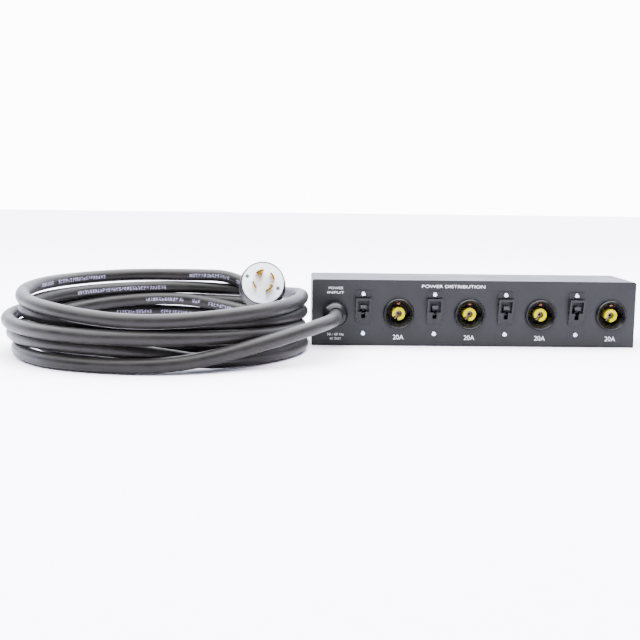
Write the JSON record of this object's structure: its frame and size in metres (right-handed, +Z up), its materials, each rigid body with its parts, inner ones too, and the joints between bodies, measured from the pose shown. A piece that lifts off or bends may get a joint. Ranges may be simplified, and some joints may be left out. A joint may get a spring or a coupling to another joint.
{
  "type": "power distribution box",
  "caption": "Low wide black power distribution box with guarded toggle breakers, round locking outlets and a heavy coiled cord ending in a four-blade locking plug.",
  "frame": {"origin": "centre of the housing's flat underside", "axes": "+X to the right along the front panel, -Y out of the front panel with breakers and outlets, +Z up"},
  "size_m": [0.821, 0.3847, 0.11],
  "materials": {
    "housing_black": "semi-gloss black paint, finely textured",
    "steel_dark": "black oxide",
    "steel_bright": "zinc plated",
    "brass": "plain brass",
    "gland_black": "moulded nylon",
    "cord_rubber": "matt rubber jacket",
    "plug_black": "satin moulded rubber",
    "plug_white": "white nylon",
    "board_green": "solder resist",
    "varistor_blue": "epoxy coat",
    "terminal_grey": "moulded",
    "wire_black": "insulated wire",
    "wire_white": "insulated wire",
    "wire_green": "insulated wire",
    "breaker_black": "moulded phenolic",
    "toggle_grey": "moulded",
    "guard_black": "moulded",
    "outlet_black": "moulded nylon",
    "core_yellow": "moulded nylon",
    "base_black": "moulded"
  },
  "bodies": {
    "housing": {"chassis_tray": "housing_black", "chassis_cover": "housing_black", "cover_screws": "steel_dark", "outlet_nuts": "steel_dark", "breaker_screws": "steel_bright", "board_standoffs": "steel_bright", "plug_face_screws": "steel_bright", "plug_clamp_screws": "steel_bright", "ground_stud": "steel_bright", "breaker_terminals": "brass", "plug_blades": "brass", "plug_ground_blade": "brass", "gland_locknut": "brass", "gland_body": "gland_black", "gland_nut": "gland_black", "gland_seal": "cord_rubber", "cord_lead": "cord_rubber", "cord_coil": "cord_rubber", "cord_tail": "cord_rubber", "plug_shell": "plug_black", "plug_cord_clamp": "plug_black", "plug_face": "plug_white", "surge_board": "board_green", "surge_parts": "varistor_blue", "terminal_block": "terminal_grey", "wires_line": "wire_black", "wires_neutral": "wire_white", "wires_ground": "wire_green", "breaker_1_case": "breaker_black", "breaker_1_guard": "guard_black", "outlet_1_shell": "outlet_black", "outlet_1_core": "core_yellow", "outlet_1_contacts": "brass", "outlet_1_base": "base_black", "breaker_2_case": "breaker_black", "breaker_2_guard": "guard_black", "outlet_2_shell": "outlet_black", "outlet_2_core": "core_yellow", "outlet_2_contacts": "brass", "outlet_2_base": "base_black", "breaker_3_case": "breaker_black", "breaker_3_guard": "guard_black", "outlet_3_shell": "outlet_black", "outlet_3_core": "core_yellow", "outlet_3_contacts": "brass", "outlet_3_base": "base_black", "breaker_4_case": "breaker_black", "breaker_4_guard": "guard_black", "outlet_4_shell": "outlet_black", "outlet_4_core": "core_yellow", "outlet_4_contacts": "brass", "outlet_4_base": "base_black"},
    "lever_1": {"breaker_1_toggle": "toggle_grey"},
    "lever_2": {"breaker_2_toggle": "toggle_grey"},
    "lever_3": {"breaker_3_toggle": "toggle_grey"},
    "lever_4": {"breaker_4_toggle": "toggle_grey"}
  },
  "joints": [
    {"name": "toggle_1", "type": "hinge", "parent": "housing", "child": "lever_1", "pos_m": [-0.1482, -0.0425, 0.043], "axis": [1, 0, 0], "range_deg": [0, 43]},
    {"name": "toggle_2", "type": "hinge", "parent": "housing", "child": "lever_2", "pos_m": [-0.0534, -0.0425, 0.043], "axis": [1, 0, 0], "range_deg": [0, 43]},
    {"name": "toggle_3", "type": "hinge", "parent": "housing", "child": "lever_3", "pos_m": [0.0414, -0.0425, 0.043], "axis": [1, 0, 0], "range_deg": [0, 43]},
    {"name": "toggle_4", "type": "hinge", "parent": "housing", "child": "lever_4", "pos_m": [0.1362, -0.0425, 0.043], "axis": [1, 0, 0], "range_deg": [0, 43]}
  ]
}
